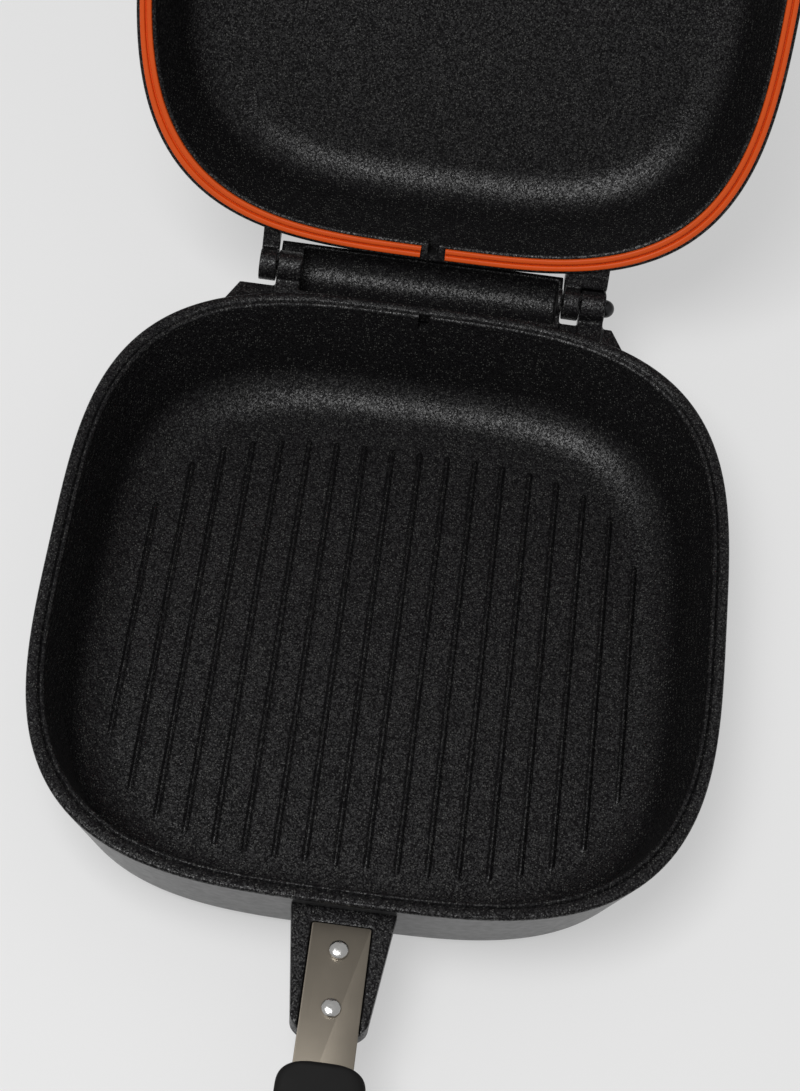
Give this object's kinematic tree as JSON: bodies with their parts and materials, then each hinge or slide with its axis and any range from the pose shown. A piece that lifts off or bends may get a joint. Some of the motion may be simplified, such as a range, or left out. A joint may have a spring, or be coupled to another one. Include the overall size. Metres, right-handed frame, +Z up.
{
  "type": "double sided flip pan",
  "caption": "Two-sided grill pan: a ridged pan and a smooth pan with a silicone seal, hinged at the back, each with its own half handle; shown open.",
  "frame": {"origin": "middle of the lower pan's flat base, on the surface it stands on", "axes": "+Z up; +Y back towards the hinge, so the handle points to -Y; +X to the right of someone holding the lower handle"},
  "size_m": [0.3196, 0.8405, 0.5192],
  "materials": {
    "coated_aluminium": "matte black stone-effect non-stick coat with fine grey specks; smooth grey enamel outside",
    "silicone": "satin orange silicone",
    "stainless": "fine lengthwise brushing",
    "rivet_metal": "polished",
    "grip_plastic": "fine satin moulding",
    "pin_steel": "satin black",
    "magnet": "nickel plate"
  },
  "bodies": {
    "lower": {"lower_pan": "coated_aluminium", "hinge_pin_left": "pin_steel", "hinge_pin_right": "pin_steel", "lower_tang": "stainless", "lower_rivet_inner": "rivet_metal", "lower_rivet_outer": "rivet_metal", "lower_grip": "grip_plastic", "lower_grip_screw_1": "stainless", "lower_grip_screw_2": "stainless", "lower_magnet": "magnet"},
    "lid": {"upper_pan": "coated_aluminium", "seal": "silicone", "upper_tang": "stainless", "upper_rivet_inner": "rivet_metal", "upper_rivet_outer": "rivet_metal", "upper_grip": "grip_plastic", "upper_grip_screw_1": "stainless", "upper_grip_screw_2": "stainless", "upper_keeper": "stainless"}
  },
  "joints": [
    {"name": "lid_hinge", "type": "hinge", "parent": "lower", "child": "lid", "pos_m": [0, 0.178, 0.061], "axis": [1, 0, 0], "range_deg": [0, 122]}
  ]
}
